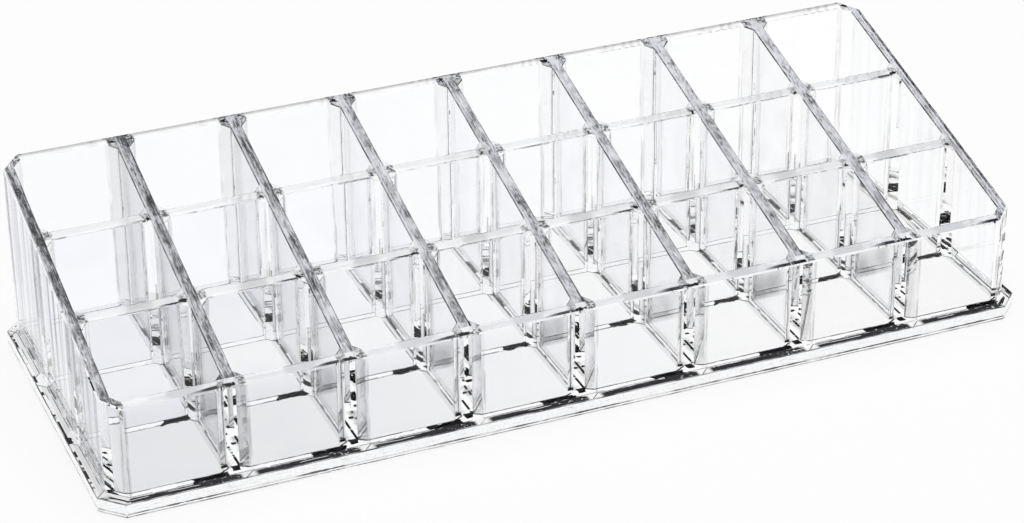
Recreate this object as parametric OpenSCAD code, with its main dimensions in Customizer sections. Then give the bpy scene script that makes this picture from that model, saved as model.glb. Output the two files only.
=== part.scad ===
// Vanity organizer: a clear tray with three rows of eight open cells.
// The rim slopes down from the back wall to the front wall.
// The origin is the middle of the underside, +X is to the right, +Z is up.
// The low front wall faces -Y. All lengths are in millimetres.

/* [Cells] */
// Clear width of one cell, left to right between its walls.
cell_width = 25; // [20:0.1:40]
// Clear depth of one cell, front to back between its walls.
cell_depth = 24.4; // [20:0.1:40]
// Length of each leg of the chamfer in the four upright corners of a cell.
cell_chamfer = 1.9; // [1:0.1:4]

/* [Walls] */
// Thickness of the front, back, left and right walls.
wall_thickness = 2.7; // [2.4:0.1:4]
// Length of each leg of the chamfer on the upright corners of the body.
corner_chamfer = 4.3; // [2:0.1:5]
// Height of the bevel along the outer edge of the rim.
rim_bevel = 0.3; // [0.1:0.1:1]
// Height of the rim above the underside, at the back.
back_rim_height = 48.8; // [40:0.1:70]
// Height of the rim above the underside, at the front.
front_rim_height = 26.5; // [20:0.1:38]

/* [Dividers] */
// Thickness of the seven dividers that run front to back.
cross_divider_thickness = 2.8; // [2:0.1:4]
// Thickness of the two dividers that run left to right.
long_divider_thickness = 2.8; // [2:0.1:4]
// Share of a crossing's height that the cross divider keeps.
lap_share = 0.5; // [0.3:0.05:0.7]

/* [Base plate] */
// Thickness of the base plate, which is also the floor of every cell.
base_thickness = 4; // [2.5:0.1:8]
// Distance that the base plate stands out beyond the walls.
base_overhang = 2.3; // [1:0.1:5]
// Length of each leg of the chamfer on the base plate's corners.
base_corner_chamfer = 5.1; // [2:0.1:8]
// Height of the bevel along the lower edge of the base plate.
base_bevel = 0.6; // [0.2:0.1:1.5]

/* [Hidden] */
// Cells along X and along Y.
columns = 8;
rows = 3;

// How far a cut runs past the solid it cuts.
overrun = 1;

// Sizes that follow from the ones above.
column_pitch = cell_width + cross_divider_thickness;
row_pitch = cell_depth + long_divider_thickness;
inner_width = columns * column_pitch - cross_divider_thickness;
inner_depth = rows * row_pitch - long_divider_thickness;
half_width = inner_width / 2 + wall_thickness;
half_depth = inner_depth / 2 + wall_thickness;
post_reach = max(wall_thickness + cell_chamfer, corner_chamfer);
wall_height = back_rim_height - base_thickness;
crossing_half_x = cross_divider_thickness / 2 + cell_chamfer;
crossing_half_y = long_divider_thickness / 2 + cell_chamfer;
long_divider_y = row_pitch / 2;
cut_span = 2 * (half_width + half_depth + back_rim_height);

// Fall of the rim for each unit of depth, and the place where it is highest.
rim_crest_y = half_depth - rim_bevel;
rim_slope = (back_rim_height - front_rim_height) / (2 * rim_crest_y);

// Height of the sloping rim plane above the underside, at depth y.
function rim_height(y) = back_rim_height - rim_slope * (rim_crest_y - y);

// Height at which the two halves of a crossing meet, at depth y.
function lap_height(y) =
    base_thickness + lap_share * (rim_height(y) - base_thickness);

// Middle of cross divider i along X, counted from 1 at the left.
function cross_x(i) = (i - columns / 2) * column_pitch;

// Eight outward directions of an outline with four chamfered corners.
outline_directions = [
    [1, 0], [-1, 0], [0, 1], [0, -1],
    [1, 1], [-1, 1], [-1, -1], [1, -1]
];

// Point of the outline straight out along direction d from the middle.
function face_point(d, half_x, half_y, chamfer) =
    abs(d.x) + abs(d.y) == 1
    ? [d.x * half_x, d.y * half_y]
    : d * (half_x + half_y - chamfer) / 2;

// Everything on the side of a plane that its normal points to.
module beyond_plane(point, normal) {
    tilt = acos(normal.z / norm(normal));
    heading = atan2(normal.y, normal.x);
    translate(point)
        rotate([0, tilt, heading])
            translate([-cut_span / 2, -cut_span / 2, 0])
                cube(cut_span);
}

// Everything above the sloping rim.
module above_rim() {
    beyond_plane([0, 0, rim_height(0)], [0, -rim_slope, 1]);
}

// Everything above the rim and outside the bevel along its outer edge.
module above_bevelled_rim() {
    above_rim();
    for (d = outline_directions) {
        p = face_point(d, half_width, half_depth, corner_chamfer);
        n = d / norm(d);
        beyond_plane(
            [p.x, p.y, rim_height(p.y) - rim_bevel],
            [n.x, n.y - rim_slope, 1]
        );
    }
}

// Upright block that stands on the base plate, given by its plan limits.
module upright_block(x_from, x_to, y_from, y_to) {
    translate([x_from, y_from, base_thickness])
        cube([x_to - x_from, y_to - y_from, wall_height]);
}

// Wall along X whose outer face is on the front or the back side.
module long_wall(side) {
    inner_y = side * (half_depth - wall_thickness);
    outer_y = side * half_depth;
    difference() {
        upright_block(
            post_reach - half_width,
            half_width - post_reach,
            min(inner_y, outer_y),
            max(inner_y, outer_y)
        );
        above_bevelled_rim();
    }
}

// Wall along Y whose outer face is on the left or the right side.
module side_wall(side) {
    inner_x = side * (half_width - wall_thickness);
    outer_x = side * half_width;
    difference() {
        upright_block(
            min(inner_x, outer_x),
            max(inner_x, outer_x),
            post_reach - half_depth,
            half_depth - post_reach
        );
        above_bevelled_rim();
    }
}

// Post that joins two walls, chamfered on the outside and in the cell.
module corner_post(side_x, side_y) {
    inner = wall_thickness + cell_chamfer;
    plan = [
        [corner_chamfer, 0],
        [post_reach, 0],
        [post_reach, wall_thickness],
        [inner, wall_thickness],
        [wall_thickness, inner],
        [wall_thickness, post_reach],
        [0, post_reach],
        [0, corner_chamfer]
    ];
    difference() {
        translate([0, 0, base_thickness])
            linear_extrude(wall_height)
                polygon([
                    for (p = plan)
                        [side_x * (half_width - p.x), side_y * (half_depth - p.y)]
                ]);
        above_bevelled_rim();
    }
}

// Plan of a divider strip along X, with a flared foot at both ends.
module flared_strip_plan(length, thickness) {
    narrow = thickness / 2;
    wide = narrow + cell_chamfer;
    reach = length / 2;
    neck = reach - cell_chamfer;
    polygon([
        [-reach, wide],
        [-reach, -wide],
        [-neck, -narrow],
        [neck, -narrow],
        [reach, -wide],
        [reach, wide],
        [neck, narrow],
        [-neck, narrow]
    ]);
}

// Plan of the chamfered post where two dividers cross.
module crossing_plan() {
    polygon([
        [crossing_half_x, -long_divider_thickness / 2],
        [crossing_half_x, long_divider_thickness / 2],
        [cross_divider_thickness / 2, crossing_half_y],
        [-cross_divider_thickness / 2, crossing_half_y],
        [-crossing_half_x, long_divider_thickness / 2],
        [-crossing_half_x, -long_divider_thickness / 2],
        [-cross_divider_thickness / 2, -crossing_half_y],
        [cross_divider_thickness / 2, -crossing_half_y]
    ]);
}

// Divider along Y. It keeps the lower half of each crossing, and the long
// dividers drop into its slots from above.
module cross_divider(i) {
    difference() {
        translate([cross_x(i), 0, base_thickness])
            linear_extrude(wall_height) {
                rotate([0, 0, 90])
                    flared_strip_plan(inner_depth, cross_divider_thickness);
                for (side = [-1, 1])
                    translate([0, side * long_divider_y])
                        crossing_plan();
            }
        above_rim();
        for (side = [-1, 1])
            translate([
                cross_x(i) - crossing_half_x - overrun,
                side * long_divider_y - crossing_half_y,
                lap_height(side * long_divider_y)
            ])
                cube([
                    2 * (crossing_half_x + overrun),
                    2 * crossing_half_y,
                    back_rim_height
                ]);
    }
}

// Divider along X, in front of or behind the middle. It keeps the upper half
// of each crossing and straddles the cross dividers.
module long_divider(side) {
    y = side * long_divider_y;
    difference() {
        translate([0, y, base_thickness])
            linear_extrude(wall_height) {
                flared_strip_plan(inner_width, long_divider_thickness);
                for (i = [1 : columns - 1])
                    translate([cross_x(i), 0])
                        crossing_plan();
            }
        above_rim();
        for (i = [1 : columns - 1])
            translate([
                cross_x(i) - crossing_half_x,
                y - crossing_half_y - overrun,
                base_thickness - overrun
            ])
                cube([
                    2 * crossing_half_x,
                    2 * (crossing_half_y + overrun),
                    lap_height(y) - base_thickness + overrun
                ]);
    }
}

module base_plate() {
    plate_half_x = half_width + base_overhang;
    plate_half_y = half_depth + base_overhang;
    color([0.86, 0.88, 0.93])
        difference() {
            linear_extrude(base_thickness)
                polygon([
                    for (d = outline_directions)
                        if (abs(d.x) + abs(d.y) == 2)
                            for (leg = d.x * d.y > 0 ? [0, 1] : [1, 0])
                                [
                                    d.x * (plate_half_x - leg * base_corner_chamfer),
                                    d.y * (plate_half_y - (1 - leg) * base_corner_chamfer)
                                ]
                ]);
            for (d = outline_directions) {
                p = face_point(d, plate_half_x, plate_half_y, base_corner_chamfer);
                n = d / norm(d);
                beyond_plane([p.x, p.y, base_bevel], [n.x, n.y, -1]);
            }
        }
}

module front_wall() {
    color([0.80, 0.83, 0.90]) long_wall(-1);
}

module back_wall() {
    color([0.80, 0.83, 0.90]) long_wall(1);
}

module left_wall() {
    color([0.76, 0.80, 0.88]) side_wall(-1);
}

module right_wall() {
    color([0.76, 0.80, 0.88]) side_wall(1);
}

module front_left_corner_post() {
    color([0.70, 0.74, 0.84]) corner_post(-1, -1);
}

module front_right_corner_post() {
    color([0.70, 0.74, 0.84]) corner_post(1, -1);
}

module back_left_corner_post() {
    color([0.70, 0.74, 0.84]) corner_post(-1, 1);
}

module back_right_corner_post() {
    color([0.70, 0.74, 0.84]) corner_post(1, 1);
}

module cross_divider_1() {
    color([0.62, 0.66, 0.76]) cross_divider(1);
}

module cross_divider_2() {
    color([0.62, 0.66, 0.76]) cross_divider(2);
}

module cross_divider_3() {
    color([0.62, 0.66, 0.76]) cross_divider(3);
}

module cross_divider_4() {
    color([0.62, 0.66, 0.76]) cross_divider(4);
}

module cross_divider_5() {
    color([0.62, 0.66, 0.76]) cross_divider(5);
}

module cross_divider_6() {
    color([0.62, 0.66, 0.76]) cross_divider(6);
}

module cross_divider_7() {
    color([0.62, 0.66, 0.76]) cross_divider(7);
}

module front_long_divider() {
    color([0.72, 0.76, 0.85]) long_divider(-1);
}

module rear_long_divider() {
    color([0.72, 0.76, 0.85]) long_divider(1);
}

base_plate();
front_wall();
back_wall();
left_wall();
right_wall();
front_left_corner_post();
front_right_corner_post();
back_left_corner_post();
back_right_corner_post();
cross_divider_1();
cross_divider_2();
cross_divider_3();
cross_divider_4();
cross_divider_5();
cross_divider_6();
cross_divider_7();
front_long_divider();
rear_long_divider();
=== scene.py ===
"""Looks of the vanity organizer: clear moulded tray, bonded to its base plate, on a white floor."""
from functools import cache, partial, partialmethod, reduce
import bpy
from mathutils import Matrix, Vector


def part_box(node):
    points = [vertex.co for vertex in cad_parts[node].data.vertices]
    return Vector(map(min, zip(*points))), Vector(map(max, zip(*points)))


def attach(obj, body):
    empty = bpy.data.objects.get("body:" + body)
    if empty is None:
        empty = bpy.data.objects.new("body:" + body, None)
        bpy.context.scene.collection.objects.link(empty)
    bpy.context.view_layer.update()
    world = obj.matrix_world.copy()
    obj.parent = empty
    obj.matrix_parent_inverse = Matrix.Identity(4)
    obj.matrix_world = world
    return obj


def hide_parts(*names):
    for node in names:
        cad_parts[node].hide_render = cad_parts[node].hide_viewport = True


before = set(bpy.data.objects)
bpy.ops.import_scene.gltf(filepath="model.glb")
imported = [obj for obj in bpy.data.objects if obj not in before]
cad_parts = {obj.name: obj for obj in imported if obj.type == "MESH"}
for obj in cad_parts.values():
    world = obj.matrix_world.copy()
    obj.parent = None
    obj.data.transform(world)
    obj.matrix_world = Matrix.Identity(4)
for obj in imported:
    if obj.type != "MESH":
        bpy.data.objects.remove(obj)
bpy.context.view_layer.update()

from types import SimpleNamespace

import bmesh
import bpy
import numpy as np
from bpy.props import FloatProperty, FloatVectorProperty, IntProperty, PointerProperty
from mathutils import Matrix, Vector

bl_info = {
    "name": "Vanity organizer looks",
    "version": (1, 0, 0),
    "blender": (4, 5, 0),
    "location": "3D View > Sidebar > Organizer",
    "description": "Clear acrylic pieces, bonded seams and studio for the vanity organizer",
    "category": "Object",
}

MM = 0.001
HALF_ROOT = 0.5 ** 0.5
SIDE_WALLS = ("left_wall", "right_wall")
CORNER_POSTS = (
    "front_left_corner_post",
    "front_right_corner_post",
    "back_left_corner_post",
    "back_right_corner_post",
)
CROSS_DIVIDERS = tuple(f"cross_divider_{i}" for i in range(1, 8))
LONG_DIVIDERS = ("front_long_divider", "rear_long_divider")
COLUMNS = len(CROSS_DIVIDERS) + 1
ROWS = len(LONG_DIVIDERS) + 1

# Limits for merging and sorting the faces of the solids: metres, radians and shares of a unit normal.
WELD = 1e-6
JUST_OUTSIDE = 0.05 * MM
NEAR_PLATE = 0.1 * MM
FLAT_ANGLE = 0.002
CREASE_ANGLE = 0.3
UPRIGHT = 0.9
LEANING = 0.5
# Shares of the full rounding for a broad face, a narrow one and an upright hollow.
BROAD_FACE = 0.6 * MM
BROAD, NARROW, HOLLOW = 1.0, 0.3, 0.4

# Colours of edges, marks and bond, all painted shade apart from white and the scratches; roughness of worn
# faces and lines, and heights of the waves in faces.
WHITE = (1.0, 1.0, 1.0)
TOP_SHADE = (0.84, 0.85, 0.87)
TOP_SHADE_FOOT = (0.93, 0.935, 0.95)
TOP_SHADE_FRONT = (0.86, 0.87, 0.9)
TOP_SHADE_BACK = (0.52, 0.525, 0.54)
SCRATCH = (0.2, 0.2, 0.22)
EDGE_SHADE_LINE = (0.03, 0.03, 0.04)
PATCH_SHADE_GREY = (0.6, 0.61, 0.63)
PATCH_SHADE_BLACK = (0.01, 0.011, 0.013)
SIDE_SHADE = (0.09, 0.085, 0.19)
FLOOR_SHADE = (0.05, 0.052, 0.06)
SPOT_SHADE_BLACK = (0.004, 0.004, 0.005)
LEDGE_SHADE_BLACK = (0.0012, 0.0012, 0.0016)
VOID_SHADE_DARK = (0.0005, 0.0005, 0.001)
VOID_SHADE_LIGHT = (0.006, 0.006, 0.008)
WORN_FACE = 0.03
WORN_LINE = 0.05
FAINT_WAVES = 0.012 * MM
STRONG_WAVES = 0.02 * MM
FLOOR_WAVES = 0.01 * MM


def mesh_points(node):
    """Corner points of a node's mesh as an array with one row for each."""
    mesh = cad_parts[node].data
    flat = np.empty(3 * len(mesh.vertices))
    mesh.vertices.foreach_get("co", flat)
    return flat.reshape(-1, 3)


def measure():
    """Sizes of the tray in metres, read from the boxes of its nodes; pairs are along X and along Y.

    The reach is the largest sum of a point's distances from the two middle
    planes, which the chamfer of the corners sets.
    """
    box = {name: np.array(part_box(name), float).tolist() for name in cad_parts}
    post, side, front = box["front_left_corner_post"], box["left_wall"], box["front_wall"]
    cross, next_cross = box["cross_divider_1"], box["cross_divider_2"]
    long, next_long = (box[name] for name in LONG_DIVIDERS)
    wall = side[1][0] - side[0][0]
    tray = SimpleNamespace(plate_top=box["base_plate"][1][2], half=(-post[0][0], -post[0][1]))
    tray.flare = post[1][0] - post[0][0] - wall
    tray.thick = cross[1][0] - cross[0][0] - 2 * tray.flare, long[1][1] - long[0][1] - 2 * tray.flare
    tray.pitch = next_cross[0][0] - cross[0][0], next_long[0][1] - long[0][1]
    tray.cell_half = tuple((pitch - thick) / 2 for pitch, thick in zip(tray.pitch, tray.thick))
    tray.slope = (side[1][2] - front[1][2]) / (side[1][1] - front[1][1])
    tray.rim_zero = front[1][2] - tray.slope * front[1][1]
    tray.reach = float(np.abs(mesh_points("front_left_corner_post")[:, :2]).sum(axis=1).max())
    return tray


TRAY = measure()
HALF_X, HALF_Y = TRAY.half
PITCH_X, PITCH_Y = TRAY.pitch
CROSS, LONG = TRAY.thick


def in_body(points):
    """Inside test for the walls and dividers together.

    A point is inside when it lies above the plate and below the sloping rim,
    within the chamfered outline, and in none of the repeated chamfered cells.
    """
    x, y, z = points.T
    ax, ay = np.abs(x), np.abs(y)
    inside = (z > TRAY.plate_top) & (z < TRAY.rim_zero + TRAY.slope * y)
    inside &= (ax < HALF_X) & (ay < HALF_Y) & (ax + ay < TRAY.reach)
    # Distance from the middle of the nearest cell along each axis.
    u = np.abs(np.mod(x, PITCH_X) - PITCH_X / 2)
    v = np.abs(np.mod(y + PITCH_Y / 2, PITCH_Y) - PITCH_Y / 2)
    half_u, half_v = TRAY.cell_half
    in_cell = (u < half_u) & (v < half_v) & (u + v < half_u + half_v - TRAY.flare)
    return inside & ~in_cell


# Settings

class OrganizerShape(bpy.types.PropertyGroup):
    """Small sizes that the solids leave out."""
    rim_rounding: FloatProperty(
        name="Rim rounding", description="Width of the rounding along the edges of the rim",
        default=0.22 * MM, min=0.0, unit="LENGTH", subtype="DISTANCE",
    )
    rounding_steps: IntProperty(
        name="Rounding steps", description="Faces across each rounding", default=3, min=1,
    )
    bond_gap: FloatProperty(
        name="Bond gap", description="Air left under the walls where the bond has not taken",
        default=0.04 * MM, min=0.0, unit="LENGTH", subtype="DISTANCE",
    )


class OrganizerAcrylic(bpy.types.PropertyGroup):
    """Colour and finish of the clear plastic."""
    tint: FloatVectorProperty(
        name="Tint", description="Colour that the plastic gives to light passing through",
        default=(0.968, 0.976, 0.997), min=0.0, max=1.0, subtype="COLOR",
    )
    refraction: FloatProperty(
        name="Refraction", description="How strongly the plastic bends light", default=1.49, min=1.0,
    )
    glint: FloatProperty(
        name="Glint", description="Share of its natural mirror gloss that the plastic keeps",
        default=0.2, min=0.0, max=1.0,
    )
    # Painted shade: the dark grey of the cross dividers' top edges.
    edge_shade_tint: FloatVectorProperty(
        name="Milled edge tint", description="Colour of the streaky top edges of the cross dividers",
        default=(0.42, 0.43, 0.46), min=0.0, max=1.0, subtype="COLOR",
    )


class OrganizerStudio(bpy.types.PropertyGroup):
    """Floor, light and surround."""
    floor_colour: FloatVectorProperty(
        name="Floor colour", description="Colour of the floor",
        default=(0.8, 0.8, 0.8), min=0.0, max=1.0, subtype="COLOR",
    )
    floor_glow: FloatProperty(
        name="Floor glow", description="White added to the floor where it is looked at",
        default=0.9, min=0.0, max=1.0,
    )
    clear_glow: FloatProperty(
        name="Glow through the plastic", description="White added to the floor behind clear pieces",
        default=0.99, min=0.0, max=1.0,
    )
    dark_level: FloatProperty(
        name="Dark surround", description="Level of the dark part of the surround",
        default=0.005, min=0.0, max=1.0,
    )
    dim_level: FloatProperty(
        name="Dim surround", description="Level of the rest of the surround",
        default=0.25, min=0.0, max=1.0,
    )
    lamp_power: FloatProperty(
        name="Lamp power", description="Power of the soft lamp above",
        default=15.0, min=0.0, unit="POWER",
    )
    front_power: FloatProperty(
        name="Front lamp power", description="Power of the wide lamp above the camera's side",
        default=5.0, min=0.0, unit="POWER",
    )


# Node helpers

class Nodes:
    """Adds nodes to a tree; sockets, numbers and tuples are all taken as inputs.

    The position is the socket that noise, groups and split read their place from.
    """

    def __init__(self, tree):
        self.tree = tree

    def add(self, kind, **settings):
        """A new node with its settings."""
        node = self.tree.nodes.new(kind)
        for key, value in settings.items():
            setattr(node, key, value)
        return node

    def feed(self, socket, value):
        """Links an input to a socket, or sets its plain value."""
        if isinstance(value, bpy.types.NodeSocket):
            self.tree.links.new(value, socket)
        else:
            socket.default_value = value

    def math(self, operation, *values):
        """Result of one math node."""
        node = self.add("ShaderNodeMath", operation=operation)
        for socket, value in zip(node.inputs, values):
            self.feed(socket, value)
        return node.outputs[0]

    def fold(self, operation, *values):
        """The operation on all values, from left to right."""
        return reduce(partial(self.math, operation), values)

    plus = partialmethod(fold, "ADD")
    times = partialmethod(fold, "MULTIPLY")
    most = partialmethod(fold, "MAXIMUM")
    least = partialmethod(fold, "MINIMUM")
    minus = partialmethod(math, "SUBTRACT")
    times_plus = partialmethod(math, "MULTIPLY_ADD")
    size = partialmethod(math, "ABSOLUTE")
    over = partialmethod(math, "GREATER_THAN")
    under = partialmethod(math, "LESS_THAN")
    repeat = partialmethod(math, "FLOORED_MODULO")

    def rest(self, value):
        """One minus a value."""
        return self.minus(1.0, value)

    def off(self, value, centre):
        """Distance of a value from a centre."""
        return self.size(self.minus(value, centre))

    def past(self, value, half, centre=0.0):
        """How far a value lies outside a band, whose half width is measured from a centre."""
        return self.minus(self.off(value, centre), half)

    def ramp(self, value, low, high, out_low=0.0, out_high=1.0, smooth=True):
        """Goes from one output to the other while the value goes from low to high, and stays there."""
        node = self.add("ShaderNodeMapRange", interpolation_type="SMOOTHSTEP" if smooth else "LINEAR")
        for name, number in (
            ("Value", value), ("From Min", low), ("From Max", high),
            ("To Min", out_low), ("To Max", out_high),
        ):
            self.feed(node.inputs[name], number)
        return node.outputs[0]

    def band(self, value, begin, full, fade, end):
        """One between two places and zero outside, with a soft step at each."""
        return self.times(self.ramp(value, begin, full), self.ramp(value, end, fade))

    def mix(self, factor, first, second):
        """Colour that changes from the first to the second as the factor goes from zero to one."""
        node = self.add("ShaderNodeMix", data_type="RGBA")
        for name, value in (("Factor", factor), ("A", first), ("B", second)):
            self.feed(node.inputs[name], (*value, 1.0) if isinstance(value, tuple) else value)
        return node.outputs["Result"]

    def split(self):
        """X, Y and Z of the position."""
        node = self.add("ShaderNodeSeparateXYZ")
        self.feed(node.inputs[0], self.position)
        return node.outputs

    def noise(self, scale, detail=2.0, roughness=0.5, squeeze=None):
        """Noise over the position, with its coordinates times the squeeze where one is given."""
        node = self.add("ShaderNodeTexNoise")
        place = self.position
        if squeeze:
            squeezed = self.add("ShaderNodeVectorMath", operation="MULTIPLY")
            self.feed(squeezed.inputs[0], place)
            self.feed(squeezed.inputs[1], squeeze)
            place = squeezed.outputs[0]
        for name, value in (
            ("Vector", place), ("Scale", scale), ("Detail", detail), ("Roughness", roughness),
        ):
            self.feed(node.inputs[name], value)
        return node.outputs["Fac"]

    def group(self, build, **values):
        """Outputs of a shared group at the position."""
        node = self.add("ShaderNodeGroup", node_tree=made(build))
        for name, value in {"Position": self.position, **values}.items():
            self.feed(node.inputs[name], value)
        return node.outputs


@cache
def made(build):
    """What a function builds, a material or a shader group, made on its first use."""
    return build()


def new_group(name, inputs, outputs):
    """An empty shader group, its helper and the sockets at its end.

    The inputs and outputs are words in a string, and all but Position are numbers.
    """
    tree = bpy.data.node_groups.new(name, "ShaderNodeTree")
    for in_out, labels in (("INPUT", inputs), ("OUTPUT", outputs)):
        for label in labels.split():
            kind = "NodeSocketVector" if label == "Position" else "NodeSocketFloat"
            tree.interface.new_socket(label, in_out=in_out, socket_type=kind)
    nodes = Nodes(tree)
    nodes.start = nodes.add("NodeGroupInput").outputs
    nodes.position = nodes.start["Position"]
    return tree, nodes, nodes.add("NodeGroupOutput").inputs


# Shared groups

def moulding_waves():
    """Slow waves of a moulded face, longer up and down than sideways, as a height."""
    tree, n, end = new_group("moulding waves", "Position Scale", "Height")
    tall = (1.0, 1.0, 0.16)
    height = n.times_plus(n.noise(520.0, 1.0, squeeze=tall), 0.16, n.noise(120.0, 1.0, squeeze=tall))
    n.feed(end["Height"], n.times(height, n.start["Scale"]))
    return tree


def handling_wear():
    """Fine haze and hairline marks, as a roughness."""
    tree, n, end = new_group("handling wear", "Position Clean Worn", "Roughness")
    haze = n.ramp(n.noise(90.0, 3.0), 0.5, 0.8)
    marks = n.ramp(n.noise(800.0, 1.0, squeeze=(1.0, 9.0, 1.0)), 0.66, 0.74)
    wear = n.most(haze, n.times(marks, 0.6))
    n.feed(end["Roughness"], n.ramp(wear, 0.0, 1.0, n.start["Clean"], n.start["Worn"], smooth=False))
    return tree


def tray_plan():
    """Where a point lies in the tray's plan, in metres.

    Outline: distance outside the outer walls. Cell: distance outside the
    nearest cell. Both are negative inside. Side: distance from the nearest
    cell's side walls, positive inside the cell. Across and Along: signed
    distances from the nearest crossing of two dividers along X and Y.
    """
    tree, n, end = new_group("tray plan", "Position", "Outline Cell Side Across Along")
    x, y = n.split()[:2]
    ax, ay = n.size(x), n.size(y)
    flat = n.most(n.minus(ax, HALF_X), n.minus(ay, HALF_Y))
    corner = n.times(n.minus(n.plus(ax, ay), TRAY.reach), HALF_ROOT)
    n.feed(end["Outline"], n.most(flat, corner))
    # Signed place in the cell: zero in its middle.
    u = n.minus(n.repeat(x, PITCH_X), PITCH_X / 2)
    v = n.minus(n.repeat(n.plus(y, PITCH_Y / 2), PITCH_Y), PITCH_Y / 2)
    au, av = n.size(u), n.size(v)
    half_u, half_v = TRAY.cell_half
    side = n.minus(au, half_u)
    cut = n.minus(n.plus(au, av), half_u + half_v - TRAY.flare)
    n.feed(end["Cell"], n.most(side, n.minus(av, half_v), n.times(cut, HALF_ROOT)))
    n.feed(end["Side"], n.times(side, -1.0))
    for label, place, step in (("Across", u, PITCH_X), ("Along", v, PITCH_Y)):
        n.feed(end[label], n.times_plus(n.math("SIGN", place), -step / 2, place))
    return tree


# Single drops of trapped air along the foot of each cross divider, painted black as shade: middle and half
# size in mm,
# across from the divider's middle and along the tray.
DROPS = (
    (0.0, 26.6, 1.35, 3.1),
    (-0.9, 10.2, 1.2, 0.9),
    (-0.1, 6.6, 1.35, 2.4),
    (0.75, 9.8, 0.4, 2.3),
    (-1.0, 1.8, 0.35, 2.6),
    (0.9, -7.4, 0.45, 3.4),
    (0.5, -14.1, 0.7, 0.8),
    (-0.4, -21.6, 0.5, 0.7),
)


def bond_void_shade():
    """Where the bond under the walls has not taken, painted black as shade, and painted shade on the ledge
    in front of them, as masks.

    Blots lie before each crossing, longest near the front, and a short one
    follows it in the front row. A broken line along the foot edges fades
    towards the back.
    """
    tree, n, end = new_group("bond void shade", "Position", "Void Spill")
    plan = n.group(tray_plan)
    dx, dy, y = plan["Across"], plan["Along"], n.split()[1]
    rough = n.minus(n.noise(420.0, 3.0, 0.6), 0.47)
    reach = n.ramp(y, -20.0 * MM, 12.0 * MM, 4.2 * MM, -0.6 * MM)
    before = n.minus(n.size(n.plus(dx, n.plus(reach, 1.9 * MM))), reach)
    blot = n.times_plus(rough, 3.0 * MM, n.most(before, n.past(dy, 1.5 * MM)))
    shade_spill = n.times_plus(rough, 3.0 * MM, n.most(before, n.past(dy, 1.3 * MM, -0.5 * MM)))
    shade_spill = n.times(n.under(shade_spill, 0.0), n.under(y, 0.0), n.ramp(n.noise(700.0, 2.0), 0.36, 0.42))
    n.feed(end["Spill"], shade_spill)
    after = n.most(n.past(dy, 1.8 * MM, 2.6 * MM), n.plus(y, PITCH_Y), n.past(dx, 0.95 * MM, 0.3 * MM))
    for centre_x, centre_y, half_x, half_y in DROPS:
        drop = n.most(n.past(dx, half_x * MM, centre_x * MM), n.past(y, half_y * MM, centre_y * MM))
        after = n.least(after, drop)
    # Painted shade: black blots, drops and a broken line along the foot edges.
    blots = n.under(n.least(blot, n.times_plus(rough, 1.6 * MM, after)), 0.0)
    edge = n.least(plan["Cell"], n.times(plan["Outline"], -1.0))
    shade_swell = n.times(n.band(y, -11.5 * MM, -9.5 * MM, -5.0 * MM, 0.0), n.noise(900.0, 2.0), 1.3 * MM)
    width = n.plus(n.ramp(y, -24.0 * MM, 0.0, 0.3 * MM, 0.14 * MM), shade_swell)
    broken = n.over(n.noise(150.0, 3.0, 0.7), n.ramp(y, -20.0 * MM, 16.0 * MM, 0.43, 0.7))
    line = n.times(n.under(edge, width), broken, n.under(y, 30.0 * MM))
    # A thin grey film of painted shade under the side of each cross divider that faces its left cell.
    shade_film = n.times(
        n.ramp(dx, 0.4 * MM, -1.2 * MM),
        n.ramp(n.size(dx), 1.45 * MM, 1.35 * MM),
        n.ramp(n.size(dy), 3.2 * MM, 3.6 * MM),
        n.ramp(n.noise(260.0, 3.0, 0.6), 0.3, 0.6, 0.15, 0.45))
    n.feed(end["Void"], n.most(blots, line, shade_film))
    return tree


def ledge_shade_streaks():
    """Dark streaks of painted shade on the ledge outside the walls, as a mask.

    In front two lines swell before each cross divider and stop just after it.
    On the right there are spots, and on the left a row of dashes.
    """
    tree, n, end = new_group("ledge shade streaks", "Position", "Streak")
    plan = n.group(tray_plan)
    across, out = plan["Across"], plan["Outline"]
    x, y = n.split()[:2]
    along_x = n.noise(420.0, 3.0, squeeze=(0.25, 0.0, 0.0))
    fine = n.noise(1400.0, 3.0, 0.7)
    swell = n.band(across, -8.0 * MM, -3.0 * MM, -1.0 * MM, 0.5 * MM)
    width = n.plus(n.times(along_x, 0.5), n.times(swell, 0.5), n.times(fine, 0.6))
    corner = HALF_X - 4.0 * MM
    width = n.times(
        n.times_plus(width, 1.0 * MM, 0.42 * MM),
        n.ramp(n.size(x), corner, corner - 0.4 * MM, 0.35, 1.0))
    lines = n.ramp(n.past(out, width, 1.35 * MM), 0.05 * MM, -0.05 * MM)
    wander = n.times_plus(n.minus(along_x, 0.5), 1.4 * MM, 0.95 * MM)
    apart = n.most(
        n.ramp(n.off(out, wander), 0.03 * MM, 0.13 * MM),
        n.ramp(n.noise(70.0, 1.0), 0.42, 0.46))
    specks = n.times(n.ramp(fine, 0.6, 0.66), swell)
    after = n.times(n.band(across, 0.3 * MM, 1.2 * MM, 3.2 * MM, 4.5 * MM), n.over(x, 8.0 * MM - HALF_X))
    lines = n.times(lines, n.times(apart, n.rest(specks)), n.rest(after))
    beside = n.ramp(n.minus(n.size(x), HALF_X), -0.5 * MM, 0.5 * MM)
    before = n.times(n.rest(beside), n.under(y, 0.0))
    spots = n.ramp(n.noise(330.0, 2.0, squeeze=(1.0, 0.3, 1.0)), 0.6, 0.64)
    dashes = n.ramp(n.noise(330.0, 3.0, 0.6, squeeze=(0.3, 1.0, 1.0)), 0.5, 0.55)
    dashes = n.times(dashes, n.ramp(out, 1.45 * MM, 1.6 * MM))
    left = n.under(x, 0.0)
    spots = n.plus(n.times(spots, n.rest(left)), n.times(dashes, left))
    both = n.plus(n.times(lines, before), n.times(spots, beside))
    n.feed(end["Streak"], n.times(both, n.over(out, 0.0)))
    return tree


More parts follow.
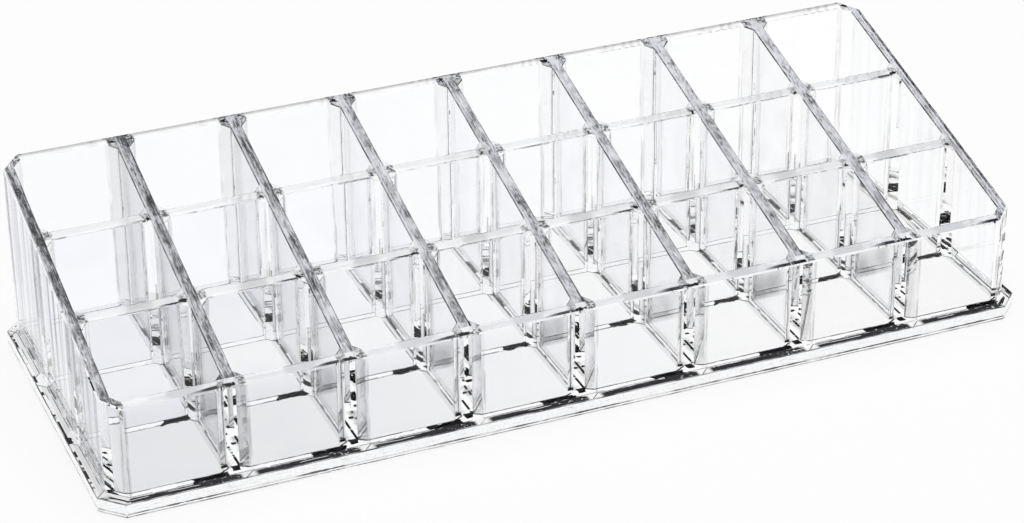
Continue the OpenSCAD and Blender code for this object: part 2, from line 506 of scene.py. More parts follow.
def floor_shade_lines():
    """Painted shade lines at the foot of the walls on the cell floors, as a mask; doubled, with a painted
    shadow, along the side walls.
    """
    tree, n, end = new_group("floor shade lines", "Position", "Line")
    plan = n.group(tray_plan)
    inward, side = n.times(plan["Cell"], -1.0), plan["Side"]
    foot = n.ramp(inward, 0.34 * MM, 0.2 * MM)
    second = n.ramp(n.off(side, 1.15 * MM), 0.2 * MM, 0.08 * MM)
    shadow = n.ramp(side, 1.2 * MM, 1.1 * MM, 0.0, 0.28)
    strokes = n.ramp(n.noise(75.0, 2.0), 0.5, 0.56, 0.15, 0.95)
    behind = n.over(n.split()[1], -12.0 * MM)
    second = n.times(second, n.most(0.15, n.times(strokes, behind)))
    broken = n.ramp(n.noise(180.0, 3.0, 0.6), 0.36, 0.5, 0.35, 1.0)
    both = n.most(n.times(foot, broken), n.most(second, shadow))
    n.feed(end["Line"], n.times(both, n.over(inward, 0.0)))
    return tree


def junction_shade_marks():
    """Painted shade on the rim at the crossings: dark spots to the left and grey patches on both sides."""
    tree, n, end = new_group("junction shade marks", "Position", "Pits Patch")
    plan = n.group(tray_plan)
    dx, dy = plan["Across"], plan["Along"]
    wobble = n.times(n.minus(n.noise(1100.0, 2.0), 0.5), 2.2 * MM)
    # Over the front wall the dark spots join up under the end of the cross divider.
    front = n.under(n.split()[1], -PITCH_Y)
    place = n.times_plus(front, -1.9 * MM, 2.3 * MM)
    chance = n.minus(n.noise(31.0, 0.0), 0.5)
    reach = n.times_plus(front, 0.75 * MM, n.times_plus(chance, 1.8 * MM, 0.5 * MM))
    shade_spots = n.most(n.minus(n.size(n.plus(dx, place)), reach), n.past(dy, 0.45 * MM, -0.6 * MM))
    n.feed(end["Pits"], n.ramp(n.plus(shade_spots, wobble), 0.1 * MM, -0.1 * MM))
    patch = n.most(n.past(n.size(dx), 0.9 * MM, 2.3 * MM), n.past(dy, 1.3 * MM))
    patch = n.ramp(n.times_plus(wobble, 0.8, patch), 0.3 * MM, -0.3 * MM)
    n.feed(end["Patch"], n.times(patch, n.times_plus(n.under(dx, 0.0), -0.25, 1.0)))
    return tree


def milled_streaks_and_shade():
    """Tool streaks along Y on the top edges with painted shade: as a level from 0, pale, to 1, dark, and
    as a height.

    A painted highlight follows the left edge of the strip and a broken line of painted shade the right
    edge.
    """
    tree, n, end = new_group("milled streaks and shade", "Position", "Level Height")
    dx = n.group(tray_plan)["Across"]
    x, y = n.split()[:2]
    long = n.noise(2400.0, 4.0, 0.65, squeeze=(1.0, 0.04, 0.04))
    short = n.noise(3300.0, 3.0, 0.7, squeeze=(1.0, 0.2, 0.2))
    share = n.ramp(x, -0.5 * HALF_X, 0.5 * HALF_X, 0.5, 0.25)
    streaks = n.plus(n.times(long, share), n.times(short, n.rest(share)))
    n.feed(end["Height"], streaks)
    blotches = n.minus(n.noise(300.0, 3.0, 0.6, squeeze=(1.0, 0.45, 0.45)), 0.5)
    level = n.times_plus(blotches, 0.55, streaks)
    # Painted shade: the level grows paler to the right and is raised on the left wall and along the outer
    # side of the right wall; a painted highlight runs along the right wall's middle.
    level = n.plus(level, n.ramp(x, -HALF_X, HALF_X, 0.02, -0.06, smooth=False))
    rim = n.ramp(x, 4.0 * MM - HALF_X, 5.0 * MM - HALF_X, 0.04, 0.0)
    rim = n.times(rim, n.ramp(y, -36.0 * MM, -10.0 * MM))
    wall = n.over(x, HALF_X - 4.0 * MM)
    outer = n.times(wall, n.ramp(dx, 0.05 * MM, 0.3 * MM, 0.03, 0.13))
    level = n.ramp(n.plus(level, rim, outer), 0.35, 0.65, 0.02, 0.98)
    painted_highlight = n.times(wall, n.ramp(n.size(dx), 0.3 * MM, 0.12 * MM))
    left = n.ramp(n.off(dx, -0.95 * MM), 0.3 * MM, 0.15 * MM)
    level = n.times(level, n.times_plus(painted_highlight, -0.9, 1.0), n.times_plus(left, -0.5, 1.0))
    right = n.times(
        n.band(dx, 0.9 * MM, 1.1 * MM, 1.4 * MM, 1.55 * MM),
        n.ramp(n.noise(45.0, 1.0), 0.48, 0.56, 0.1, 1.0))
    n.feed(end["Level"], n.most(level, right))
    return tree


def corner_shade_lines():
    """Painted shade in soft upright lines where the flares of the crossings begin, stronger towards the
    foot, as a mask.
    """
    tree, n, end = new_group("corner shade lines", "Position Off", "Line")
    line = n.times(
        n.ramp(n.size(n.start["Off"]), 0.5 * MM, 0.1 * MM),
        n.ramp(n.noise(900.0, 3.0, 0.6, squeeze=(1.0, 1.0, 0.12)), 0.36, 0.6),
        n.ramp(n.split()[2], 42.0 * MM, 12.0 * MM, 0.45, 1.0))
    n.feed(end["Line"], line)
    return tree


# Materials

class Finish(Nodes):
    """A material with one Principled shader, whose plain numbers are set on its sockets."""

    def __init__(self, name, **constants):
        self.material = bpy.data.materials.new(name)
        self.material.use_nodes = True
        super().__init__(self.material.node_tree)
        self.tree.nodes.clear()
        out = self.add("ShaderNodeOutputMaterial")
        shader = self.add("ShaderNodeBsdfPrincipled")
        self.feed(out.inputs["Surface"], shader.outputs[0])
        self.sockets = shader.inputs
        for socket, value in constants.items():
            self.sockets[socket.replace("_", " ")].default_value = value
        self.position = self.add("ShaderNodeTexCoord").outputs["Object"]

    def bump(self, height):
        """Feeds a height in metres to the shader's normal."""
        bump = self.add("ShaderNodeBump")
        bump.inputs["Strength"].default_value = 1.0
        bump.inputs["Distance"].default_value = 1.0
        self.feed(bump.inputs["Height"], height)
        self.feed(self.sockets["Normal"], bump.outputs[0])

    def done(self, colour, clean=0.0, worn=WORN_FACE, waves=0.0):
        """The material with its colour, its roughness between clean and worn, and its waves."""
        self.feed(self.sockets["Base Color"], colour)
        wear = self.group(handling_wear, Clean=clean, Worn=worn)
        self.feed(self.sockets["Roughness"], wear["Roughness"])
        if waves:
            self.bump(self.group(moulding_waves, Scale=waves)["Height"])
        return self.material


def clear_plastic(name, glint=None, **constants):
    """Clear plastic whose mirror part is held low, so that dark marks inside stay dark."""
    look = bpy.context.scene.organizer_acrylic
    share = look.glint if glint is None else glint
    return Finish(name, **{
        "Transmission_Weight": 1.0, "IOR": look.refraction, "Specular_Tint": (share, share, share, 1.0),
        **constants})


def shade(colour, share):
    """The colour times a share, held at white."""
    return tuple(min(1.0, share * c) for c in colour)


def tint_of(share=1.0):
    """The plastic's tint times a share."""
    return shade(bpy.context.scene.organizer_acrylic.tint, share)


def with_flare_shade(n, colour, axis, thickness):
    """The colour with painted shade in upright lines where the flares begin, beside each crossing along an
    axis.
    """
    plan = n.group(tray_plan)
    across = plan["Across"]
    reach = 0.5 * thickness + TRAY.flare
    line = n.group(corner_shade_lines, Off=n.past(plan[axis], reach))["Line"]
    # Painted shade: the flares on the right of each crossing turn away from the light.
    slope = n.times(
        n.ramp(across, 1.5 * MM, 3.1 * MM),
        n.under(across, reach + 0.05 * MM),
        n.ramp(n.noise(500.0, 2.0, squeeze=(1.0, 1.0, 0.1)), 0.35, 0.65, 0.12, 0.42))
    return n.mix(n.times(n.most(line, slope), 0.75), colour, tint_of(0.25))


def clear_face():
    """Clear moulded face: faint waves, a little haze, a cool tint and painted shade, a little darker
    towards the left.
    """
    n = clear_plastic("clear_moulded_face")
    # Painted shade: a little darker towards the left.
    across = n.ramp(n.split()[0], -HALF_X, HALF_X)
    plain = n.mix(across, tint_of(1.01), tint_of(1.035))
    cloudy = n.mix(across, tint_of(0.99), tint_of(1.03))
    clear = n.mix(n.ramp(n.noise(60.0, 2.0), 0.35, 0.7), plain, cloudy)
    return n.done(with_flare_shade(n, clear, "Across", CROSS), waves=FAINT_WAVES)


def shaded_side_face():
    """Face of the side walls: clear, with painted shade in fine upright lines on the outer face, fainter
    low down, and in broad patches; plainer on the right.
    """
    n = clear_plastic("side_face_painted_shade")
    x, y, z = n.split()
    tall = (1.0, 1.0, 0.03)
    phase = n.math("FRACT", n.times_plus(y, 190.0, n.times(n.noise(120.0, 2.0, squeeze=tall), 2.0)))
    lines = n.times(
        n.ramp(n.off(phase, 0.5), 0.36, 0.08),
        n.ramp(n.noise(330.0, 1.0, squeeze=tall), 0.35, 0.6, 0.4, 1.0),
        n.ramp(z, 6.0 * MM, 30.0 * MM, 0.6, 1.0),
        n.over(n.size(x), HALF_X - 0.1 * MM))
    # Painted shade in broad patches, besides the upright lines.
    haze = n.ramp(n.noise(90.0, 2.0, squeeze=tall), 0.4, 0.7, 0.02, 0.3)
    streaks = n.times(n.most(lines, haze), n.times_plus(n.under(x, 0.0), 0.88, 0.12))
    return n.done(n.mix(streaks, tint_of(1.02), SIDE_SHADE), waves=STRONG_WAVES)


def shaded_divider_face():
    """Face of the cross dividers: painted shade, faint and cloudy all over and greyer towards the left,
    with a painted reflection of dark shade in the front row.
    """
    n = clear_plastic("divider_face_painted_shade", glint=1.0)
    x, y, z = n.split()
    # The painted smoke, a reflection of dark shade, is a wedge that climbs from the foot of the post
    # towards the front wall.
    ahead = n.minus(-0.5 * PITCH_Y - 0.5 * LONG - TRAY.flare, y)
    climb = n.minus(z, n.times_plus(ahead, 0.65, TRAY.plate_top))
    shade_wedge = n.times(
        n.band(climb, -0.8 * MM, 0.6 * MM, 3.0 * MM, 12.0 * MM),
        n.band(ahead, -1.0 * MM, 0.0, 12.0 * MM, 20.0 * MM))
    shade_clouds = n.ramp(n.noise(110.0, 3.0), 0.3, 0.7)
    painted_smoke = n.most(n.times(shade_clouds, 0.12), n.times(shade_wedge, n.ramp(shade_clouds, 0.0, 1.0, 0.5, 1.0)))
    # Painted shade: greyer towards the left.
    shade_to_left = n.ramp(x, -90.0 * MM, -20.0 * MM, 1.0, 0.0, smooth=False)
    shaded_colour = n.mix(painted_smoke, n.mix(shade_to_left, tint_of(1.0), tint_of(0.73)), tint_of(0.42))
    return n.done(with_flare_shade(n, shaded_colour, "Along", LONG), waves=FAINT_WAVES)


def broken_line(n, light, dark, low=0.38, high=0.6):
    """Colour that changes along a line between two shares of the tint."""
    return n.mix(n.ramp(n.noise(160.0, 3.0, 0.6), low, high), tint_of(light), tint_of(dark))


def soft_line():
    """Rounding of the pieces that run left to right, with painted shade that comes and goes along it."""
    n = clear_plastic("soft_rounded_edge")
    return n.done(broken_line(n, 0.92, 0.15, 0.5, 0.66), worn=WORN_LINE)


def dark_line():
    """Rounding of the pieces that run front to back, painted dark as shade."""
    n = clear_plastic("dark_rounded_edge")
    return n.done(broken_line(n, 0.12, 0.004), worn=WORN_LINE)


def back_line():
    """Rounding of the back wall: grey with painted shade on the outside, clear on the inside."""
    n = clear_plastic("back_rounded_edge")
    inside = n.under(n.split()[1], HALF_Y - 1.0 * MM)
    return n.done(n.mix(inside, broken_line(n, 0.75, 0.3, 0.4, 0.62), tint_of(1.03)), worn=WORN_LINE)


def plate_line():
    """Rounding of the base plate, painted dark as shade above and below, and nearly clear up the corners.
    """
    n = clear_plastic("plate_rounded_edge")
    top = TRAY.plate_top
    upright = n.band(n.split()[2], 0.9 * MM, 1.3 * MM, top - 0.5 * MM, top - 0.3 * MM)
    return n.done(n.mix(upright, broken_line(n, 0.3, 0.01), tint_of(0.85)), worn=WORN_LINE)


def with_crossing_shade(n, colour):
    """The colour with the painted shade at the crossings: black spots and grey patches."""
    marks = n.group(junction_shade_marks)
    grain = n.ramp(n.noise(1500.0, 2.0, 0.7), 0.42, 0.54)
    patch = n.mix(grain, PATCH_SHADE_GREY, PATCH_SHADE_BLACK)
    return n.mix(marks["Pits"], n.mix(n.times(marks["Patch"], 0.9), colour, patch), SPOT_SHADE_BLACK)


def milled_colour_and_shade(n):
    """Colour, with painted shade, and height of the streaky top edges."""
    tint = bpy.context.scene.organizer_acrylic.edge_shade_tint
    streaks = n.group(milled_streaks_and_shade)
    return n.mix(streaks["Level"], shade(tint, 1.7), shade(tint, 0.05)), streaks["Height"]


def milled_and_shaded_edge():
    """Top edge with streaks along Y, as the cutter left it, made darker with painted shade."""
    n = clear_plastic("milled_top_edge_painted_shade", Transmission_Weight=0.3)
    base, streaks = milled_colour_and_shade(n)
    n.bump(n.times(streaks, 0.05 * MM))
    return n.done(with_crossing_shade(n, base), clean=0.12, worn=0.25)


def polished_edge():
    """Pale top edge of the walls and dividers that run left to right, with painted shade: light grey,
    paler on its front side, and dark grey on the outer side of the back wall.

    At each crossing the streaks of the cross divider run on over it. A dark
    line of painted shade follows the lower edge up to each cross divider, and dashes
    of painted shade follow the outer edge of the back wall.
    """
    n = clear_plastic("polished_top_edge", Transmission_Weight=0.3)
    plan = n.group(tray_plan)
    across, along, y = plan["Across"], plan["Along"], n.split()[1]
    front = n.ramp(y, -0.9 * PITCH_Y, -PITCH_Y)
    back = n.ramp(y, 0.9 * PITCH_Y, PITCH_Y)
    # Painted shade: grey levels of the strip, paler on its front side, darkest outside the back wall.
    soft = n.mix(n.ramp(along, -0.9 * MM, 0.0), TOP_SHADE_FOOT, TOP_SHADE)
    behind = n.mix(n.ramp(along, -0.4 * MM, 0.7 * MM), WHITE, TOP_SHADE_BACK)
    pale = n.mix(front, n.mix(back, soft, behind), TOP_SHADE_FRONT)
    streaks = n.ramp(n.noise(1100.0, 2.0, squeeze=(0.12, 1.0, 1.0)), 0.35, 0.65, 0.0, 0.08)
    base = n.mix(streaks, pale, SCRATCH)
    crossing = n.under(n.size(across), n.times_plus(back, TRAY.flare, 0.5 * CROSS))
    base = n.mix(n.times(crossing, n.rest(front)), base, milled_colour_and_shade(n)[0])
    chance = n.ramp(n.noise(33.0, 0.0), 0.4, 0.5)
    begin = n.times_plus(front, -2.0 * MM, -9.5 * MM)
    finish = n.times_plus(front, 3.0 * MM, -3.0 * MM)
    place = n.times(n.ramp(across, begin, -5.5 * MM), n.under(across, finish), n.most(front, chance))
    sway = n.times(n.minus(n.noise(120.0, 1.0), 0.5), -1.2 * MM)
    sway = n.times(front, n.times_plus(place, -0.6 * MM, sway))
    # Painted shade: dark lines along the lower edge before each cross divider, and dashes along the outer
    # edge of the back wall.
    lower = n.times(n.ramp(n.plus(along, sway), -0.55 * MM, -0.75 * MM), n.rest(back))
    outer = n.times(n.ramp(along, 0.6 * MM, 0.85 * MM), back)
    dashes = n.times(n.ramp(n.size(across), 4.8 * MM, 3.6 * MM), n.ramp(n.noise(750.0, 1.0), 0.42, 0.5))
    shade_marks = n.most(n.times(place, lower), n.times(outer, dashes))
    base = n.mix(shade_marks, base, EDGE_SHADE_LINE)
    return n.done(with_crossing_shade(n, base), clean=0.15, worn=0.25, waves=STRONG_WAVES)


def plate_side():
    """Sides of the base plate, with a thin broken line of painted shade above the lower edge, and painted
    shade below it.
    """
    n = clear_plastic("plate_side_face")
    z = n.split()[2]
    thick = n.times_plus(n.noise(260.0, 3.0, 0.6), 0.65 * MM, -0.17 * MM)
    line = n.ramp(n.past(z, thick, 1.35 * MM), 0.1 * MM, 0.0)
    broken = n.ramp(n.noise(80.0, 3.0), 0.36, 0.55, 0.35, 1.0)
    grain = n.ramp(n.noise(1900.0, 2.0, 0.6), 0.35, 0.7, 0.2, 0.7)
    # Painted shade: darker below the line.
    below = n.ramp(z, 1.5 * MM, 1.2 * MM, 0.0, 0.35)
    plain = n.mix(n.most(grain, below), tint_of(0.99), tint_of(0.74))
    return n.done(n.mix(n.times(line, broken), plain, tint_of(0.02)))


def plate_top():
    """Top of the base plate: cell floors, the bonded footprint and the ledge outside.

    Painted shade: the floors grow paler from left to right, away from the dim side of the room, and are
    darker towards the front on the left.
    """
    n = clear_plastic("plate_top_face")
    plan = n.group(tray_plan)
    x, y = n.split()[:2]
    footprint = n.times(n.under(plan["Outline"], 0.0), n.over(plan["Cell"], 0.0))
    bond = n.group(bond_void_shade)
    n.feed(n.sockets["Alpha"], n.rest(n.times(footprint, n.rest(bond["Void"]))))
    # Painted shade on the floors, darkest at the front left.
    left = n.mix(n.ramp(y, -14.0 * MM, 5.0 * MM), tint_of(0.72), tint_of(0.92))
    palest = n.ramp(y, -14.0 * MM, 5.0 * MM, 0.5 * HALF_X, 0.0)
    clear = n.mix(n.ramp(x, -HALF_X, palest), left, tint_of(1.04))
    lined = n.mix(n.group(floor_shade_lines)["Line"], clear, FLOOR_SHADE)
    # Painted shade: black streaks on the ledge and in front of the feet.
    streak = n.most(n.group(ledge_shade_streaks)["Streak"], bond["Spill"])
    return n.done(n.mix(streak, lined, LEDGE_SHADE_BLACK), worn=0.04, waves=FLOOR_WAVES)


def plate_underside():
    """Underside of the base plate, which lies wet-flat on the floor apart from thin air streaks."""
    n = clear_plastic("plate_underside")
    streaks = n.noise(1100.0, 3.0, 0.6, squeeze=(0.18, 1.0, 1.0))
    n.feed(n.sockets["Alpha"], n.ramp(streaks, 0.56, 0.66, 0.04, 0.3))
    patch = n.ramp(n.noise(45.0, 2.0), 0.4, 0.7)
    return n.done(n.mix(patch, WHITE, tint_of()), clean=0.05, worn=0.15)


def bonded_seam():
    """Joint between two pieces of the tray: one block of plastic to the eye."""
    look = bpy.context.scene.organizer_acrylic
    n = Finish("bonded_seam", Transmission_Weight=1.0, IOR=look.refraction, Alpha=0.0)
    n.feed(n.sockets["Base Color"], n.mix(n.noise(300.0), tint_of(), WHITE))
    return n.material


def foot_bond():
    """Underside of the walls and dividers: clear where bonded, and where the bond has not taken a
    near-black film of painted shade.
    """
    n = Finish("foot_bond", Roughness=0.35, Specular_IOR_Level=0.1)
    shade_film = n.mix(n.noise(500.0, 2.0), VOID_SHADE_DARK, VOID_SHADE_LIGHT)
    n.feed(n.sockets["Base Color"], shade_film)
    n.feed(n.sockets["Alpha"], n.group(bond_void_shade)["Void"])
    return n.material


# Pieces

# Material slots of a wall, post or divider, and the looks of each kind in that order, then the rounding's.
FACE, TOP, SEAM, FOOT = range(4)
LENGTHWISE = (clear_face, polished_edge, bonded_seam, foot_bond, soft_line)
BACK_WALL = (clear_face, polished_edge, bonded_seam, foot_bond, back_line)
CORNER_POST = (clear_face, milled_and_shaded_edge, bonded_seam, foot_bond, soft_line)
SIDE_WALL = (shaded_side_face, milled_and_shaded_edge, bonded_seam, foot_bond, dark_line)
CROSSWISE = (shaded_divider_face, milled_and_shaded_edge, bonded_seam, foot_bond, dark_line)
# The same for the base plate.
SIDE, UPPER, UNDER = range(3)
PLATE = (plate_side, plate_top, plate_underside, plate_line)


def merged_shape(node, cuts=()):
    """A node's own mesh with its triangles joined to flat faces, then cut at pairs of axis and place."""
    bm = bmesh.new()
    bm.from_mesh(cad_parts[node].data)
    bmesh.ops.remove_doubles(bm, verts=bm.verts, dist=WELD)
    bmesh.ops.dissolve_limit(
        bm, angle_limit=FLAT_ANGLE, use_dissolve_boundaries=False, verts=bm.verts, edges=bm.edges,
        delimit=set())
    for axis, place in cuts:
        normal = Vector((0.0, 0.0, 0.0))
        normal[axis] = 1.0
        bmesh.ops.bisect_plane(
            bm, geom=bm.verts[:] + bm.edges[:] + bm.faces[:], dist=0.1 * WELD,
            plane_co=place * normal, plane_no=normal)
    bm.normal_update()
    return bm


def cuts_at_crossings(axis):
    """Planes across an axis where the flares of the crossings begin, as pairs of axis and place."""
    count = (COLUMNS, ROWS)[axis]
    foot = TRAY.thick[axis] / 2 + TRAY.flare
    crossings = [(i - count / 2) * TRAY.pitch[axis] for i in range(1, count)]
    return [(axis, place + side * foot) for place in crossings for side in (-1, 1)]


def inner_point(face):
    """A point inside a flat face, which may be hollow: the middle of its largest triangle."""
    first, *others = (corner.co for corner in face.verts)
    pairs = zip(others, others[1:])
    one, two = max(pairs, key=lambda pair: (pair[0] - first).cross(pair[1] - first).length)
    return (first + one + two) / 3.0


def new_piece(node, bm, looks):
    """The visible piece for a CAD node: its shape and its looks, the last of them for the rounding."""
    shape = bpy.context.scene.organizer_shape
    mesh = bpy.data.meshes.new(node + "_clear")
    bm.to_mesh(mesh)
    bm.free()
    for build in looks:
        mesh.materials.append(made(build))
    piece = bpy.data.objects.new(node + "_clear", mesh)
    bpy.context.scene.collection.objects.link(piece)
    bevel = piece.modifiers.new("rounding", "BEVEL")
    bevel.limit_method = "WEIGHT"
    bevel.width = shape.rim_rounding
    bevel.segments = shape.rounding_steps
    bevel.use_clamp_overlap = True
    bevel.material = len(looks) - 1
    return piece


def finished_piece(node, looks, cuts=()):
    """Stands for a wall, post or divider, with a look for each kind of face.

    A face is the foot when it looks down on the plate, a seam when a point
    just outside it lies in the tray's body, and the top when it looks up.
    Sharp edges between two open faces are rounded: the outer ones, and the
    upright ones in hollows. The foot is lifted by the bond's gap.
    """
    bm = merged_shape(node, cuts)
    faces = bm.faces[:]
    middles = np.array([inner_point(f) for f in faces])
    normals = np.array([f.normal for f in faces])
    up = normals[:, 2]
    seam = in_body(middles + JUST_OUTSIDE * normals)
    foot = (up < -UPRIGHT) & (middles[:, 2] < TRAY.plate_top + NEAR_PLATE)
    kinds = np.select([foot, seam, up > LEANING], [FOOT, SEAM, TOP], FACE)
    for face, kind in zip(faces, kinds.tolist()):
        face.material_index = kind
    weights = bm.edges.layers.float.new("bevel_weight_edge")
    for edge in bm.edges:
        sides = edge.link_faces
        if len(sides) != 2:
            raise RuntimeError(f"{node}: an edge joins {len(sides)} faces")
        if any(f.material_index > TOP for f in sides) or edge.calc_face_angle() < CREASE_ANGLE:
            continue
        length = edge.calc_length()
        one, two = (v.co for v in edge.verts)
        if edge.is_convex:
            width = min(f.calc_area() for f in sides) / length
            edge[weights] = BROAD if width > BROAD_FACE else NARROW
        elif abs(one.z - two.z) > UPRIGHT * length:
            edge[weights] = HOLLOW
    lowest = [v for v in bm.verts if abs(v.co.z - TRAY.plate_top) < WELD]
    gap = bpy.context.scene.organizer_shape.bond_gap
    bmesh.ops.translate(bm, verts=lowest, vec=(0.0, 0.0, gap))
    piece = new_piece(node, bm, looks)
    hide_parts(node)
    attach(piece, "root")


class ORGANIZER_OT_base_plate(bpy.types.Operator):
    """Base plate with its cell floors, ledge and satin underside"""
    bl_idname = "organizer.base_plate"
    bl_label = "Base plate"

    def execute(self, context):
        node = "base_plate"
        bm = merged_shape(node)
        for face in bm.faces:
            up = face.normal.z
            face.material_index = UPPER if up > UPRIGHT else UNDER if up < -UPRIGHT else SIDE
        weights = bm.edges.layers.float.new("bevel_weight_edge")
        for edge in bm.edges:
            if edge.is_convex and edge.calc_face_angle() > CREASE_ANGLE:
                edge[weights] = BROAD
        piece = new_piece(node, bm, PLATE)
        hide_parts(node)
        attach(piece, "root")
        return {"FINISHED"}


class ORGANIZER_OT_walls(bpy.types.Operator):
    """Front, back, left and right walls with their corner posts"""
    bl_idname = "organizer.walls"
    bl_label = "Walls and corner posts"

    def execute(self, context):
        finished_piece("front_wall", LENGTHWISE, cuts_at_crossings(0))
        finished_piece("back_wall", BACK_WALL, cuts_at_crossings(0))
        for node in SIDE_WALLS:
            finished_piece(node, SIDE_WALL, cuts_at_crossings(1))
        for node in CORNER_POSTS:
            finished_piece(node, CORNER_POST)
        return {"FINISHED"}


class ORGANIZER_OT_cross_dividers(bpy.types.Operator):
    """Seven dividers that run front to back"""
    bl_idname = "organizer.cross_dividers"
    bl_label = "Cross dividers"

    def execute(self, context):
        for node in CROSS_DIVIDERS:
            finished_piece(node, CROSSWISE)
        return {"FINISHED"}


class ORGANIZER_OT_long_dividers(bpy.types.Operator):
    """Two dividers that run left to right"""
    bl_idname = "organizer.long_dividers"
    bl_label = "Long dividers"

    def execute(self, context):
        for node in LONG_DIVIDERS:
            finished_piece(node, LENGTHWISE, cuts_at_crossings(0))
        return {"FINISHED"}


# Studio

# Camera of the photo, solved from the tray's own edges: focal length and optical centre in pixels
# of the picture, turns in radians, and the tray's origin as the camera sees it in mm.
PICTURE = (1024.0, 523.0)
FOCAL = 3078.7
CENTRE = (467.48, 164.58)
HEADING, TILT, ROLL = -0.374615, 0.474698, -0.015879
TRAY_SEEN = (11.041, 38.935, 743.385)
SENSOR = 36.0
# Bounces that light needs through many clear faces one behind another.
BOUNCES = 48
CLEAR_BOUNCES = 96
FLOOR_HALF = 6.0
FLOOR_LEVEL = -0.1 * MM


def place_camera(scene):
    """Camera of the photo: rows of its turn matrix are image right, image down and forward."""
    ahead = -np.array([np.sin(HEADING) * np.cos(TILT), -np.cos(HEADING) * np.cos(TILT), np.sin(TILT)])
    right = np.cross(ahead, [0.0, 0.0, 1.0])
    right /= np.linalg.norm(right)
    down = np.cross(ahead, right)
    c, s = np.cos(ROLL), np.sin(ROLL)
    turn = np.array([[c, -s, 0.0], [s, c, 0.0], [0.0, 0.0, 1.0]]) @ np.stack([right, down, ahead])
    place = np.eye(4)
    place[:3, 0], place[:3, 1], place[:3, 2] = turn[0], -turn[1], -turn[2]
    place[:3, 3] = -(turn.T @ (np.array(TRAY_SEEN) * MM))
    wide, high = PICTURE
    data = bpy.data.cameras.new("camera")
    camera = bpy.data.objects.new("camera", data)
    scene.collection.objects.link(camera)
    camera.matrix_world = Matrix(place.tolist())
    data.sensor_width = SENSOR
    data.lens = FOCAL * SENSOR / wide
    data.shift_x = (wide / 2 - CENTRE[0]) / wide
    data.shift_y = (CENTRE[1] - high / 2) / wide
    data.clip_start = 0.01
    data.clip_end = 60.0
    scene.camera = camera


def add_lamp(scene, name, place, size, power):
    """A square soft lamp that faces the object."""
    lamp = bpy.data.lights.new(name, "AREA")
    lamp.shape = "SQUARE"
    lamp.size = size
    lamp.energy = power
    holder = bpy.data.objects.new(name, lamp)
    scene.collection.objects.link(holder)
    holder.location = place
    holder.rotation_euler = (-Vector(place)).to_track_quat("-Z", "Y").to_euler()


def floor_paint(studio):
    """Matt floor that also glows white for the camera and behind clear or glossy faces."""
    paint = bpy.data.materials.new("studio_floor")
    paint.use_nodes = True
    paint.node_tree.nodes.clear()
    n = Nodes(paint.node_tree)
    out = n.add("ShaderNodeOutputMaterial")
    matt = n.add("ShaderNodeBsdfDiffuse")
    matt.inputs["Color"].default_value = (*studio.floor_colour, 1.0)
    glow = n.add("ShaderNodeEmission")
    glow.inputs["Strength"].default_value = 1.0
    path = n.add("ShaderNodeLightPath").outputs
    seen = n.times(path["Is Camera Ray"], studio.floor_glow)
    sent_on = n.times(n.most(path["Is Glossy Ray"], path["Is Transmission Ray"]), studio.clear_glow)
    both = n.add("ShaderNodeMixShader")
    n.feed(both.inputs["Fac"], n.most(seen, sent_on))
    n.feed(both.inputs[1], matt.outputs[0])
    n.feed(both.inputs[2], glow.outputs[0])
    n.feed(out.inputs["Surface"], both.outputs[0])
    return paint


def surround(studio):
    """Dim room with a dark wall beyond the object and above the horizon; the camera itself sees white."""
    world = bpy.data.worlds.new("surround")
    world.use_nodes = True
    world.node_tree.nodes.clear()
    n = Nodes(world.node_tree)
    out = n.add("ShaderNodeOutputWorld")
    sky = n.add("ShaderNodeBackground")
    n.position = n.add("ShaderNodeTexCoord").outputs["Generated"]
    y, z = n.split()[1:]
    camera_ray = n.add("ShaderNodeLightPath").outputs["Is Camera Ray"]
    dark = n.times(n.ramp(y, 0.0, 0.35), n.band(z, 0.12, 0.22, 0.75, 0.9), n.rest(camera_ray))
    grey = n.ramp(dark, 0.0, 1.0, studio.dim_level, studio.dark_level, smooth=False)
    n.feed(sky.inputs["Color"], n.most(grey, camera_ray))
    n.feed(out.inputs["Surface"], sky.outputs[0])
    return world


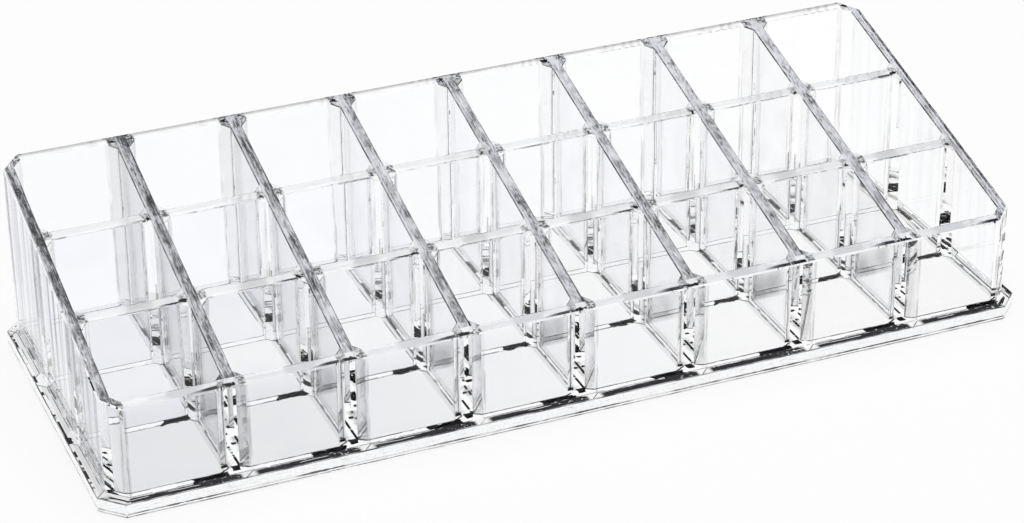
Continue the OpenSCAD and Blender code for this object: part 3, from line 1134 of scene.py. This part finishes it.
class ORGANIZER_OT_studio(bpy.types.Operator):
    """White floor, soft lamps, surround and camera"""
    bl_idname = "organizer.studio"
    bl_label = "Studio"

    def execute(self, context):
        scene = context.scene
        studio = scene.organizer_studio
        mesh = bpy.data.meshes.new("floor")
        turns = ((-1, -1), (1, -1), (1, 1), (-1, 1))
        corners = [(x * FLOOR_HALF, y * FLOOR_HALF, FLOOR_LEVEL) for x, y in turns]
        mesh.from_pydata(corners, [], [(0, 1, 2, 3)])
        floor = bpy.data.objects.new("floor", mesh)
        scene.collection.objects.link(floor)
        mesh.materials.append(floor_paint(studio))
        scene.world = surround(studio)
        add_lamp(scene, "top_lamp", (0.0, 0.1, 1.3), 1.0, studio.lamp_power)
        add_lamp(scene, "front_lamp", (0.42, -0.95, 0.72), 1.3, studio.front_power)
        place_camera(scene)
        scene.view_settings.view_transform = "Standard"
        scene.cycles.max_bounces = BOUNCES
        scene.cycles.transmission_bounces = BOUNCES
        scene.cycles.glossy_bounces = BOUNCES
        scene.cycles.transparent_max_bounces = CLEAR_BOUNCES
        return {"FINISHED"}


class ORGANIZER_PT_panel(bpy.types.Panel):
    """Sizes, colours and steps of the organizer"""
    bl_idname = "ORGANIZER_PT_panel"
    bl_label = "Vanity organizer"
    bl_space_type = "VIEW_3D"
    bl_region_type = "UI"
    bl_category = "Organizer"

    def draw(self, context):
        layout = self.layout
        for group in SETTINGS:
            settings = getattr(context.scene, group)
            for name in settings.__annotations__:
                layout.prop(settings, name)
        for step in STEPS:
            layout.operator(step.bl_idname)


STEPS = (
    ORGANIZER_OT_studio,
    ORGANIZER_OT_base_plate,
    ORGANIZER_OT_walls,
    ORGANIZER_OT_cross_dividers,
    ORGANIZER_OT_long_dividers,
)
SETTINGS = {
    "organizer_shape": OrganizerShape,
    "organizer_acrylic": OrganizerAcrylic,
    "organizer_studio": OrganizerStudio,
}


def register():
    for name, group in SETTINGS.items():
        bpy.utils.register_class(group)
        setattr(bpy.types.Scene, name, PointerProperty(type=group))
    for item in (*STEPS, ORGANIZER_PT_panel):
        bpy.utils.register_class(item)


def unregister():
    for item in (ORGANIZER_PT_panel, *reversed(STEPS)):
        bpy.utils.unregister_class(item)
    for name, group in SETTINGS.items():
        delattr(bpy.types.Scene, name)
        bpy.utils.unregister_class(group)


def main():
    register()
    bpy.ops.organizer.studio()
    bpy.ops.organizer.base_plate()
    bpy.ops.organizer.walls()
    bpy.ops.organizer.cross_dividers()
    bpy.ops.organizer.long_dividers()


if __name__ == "__main__":
    main()
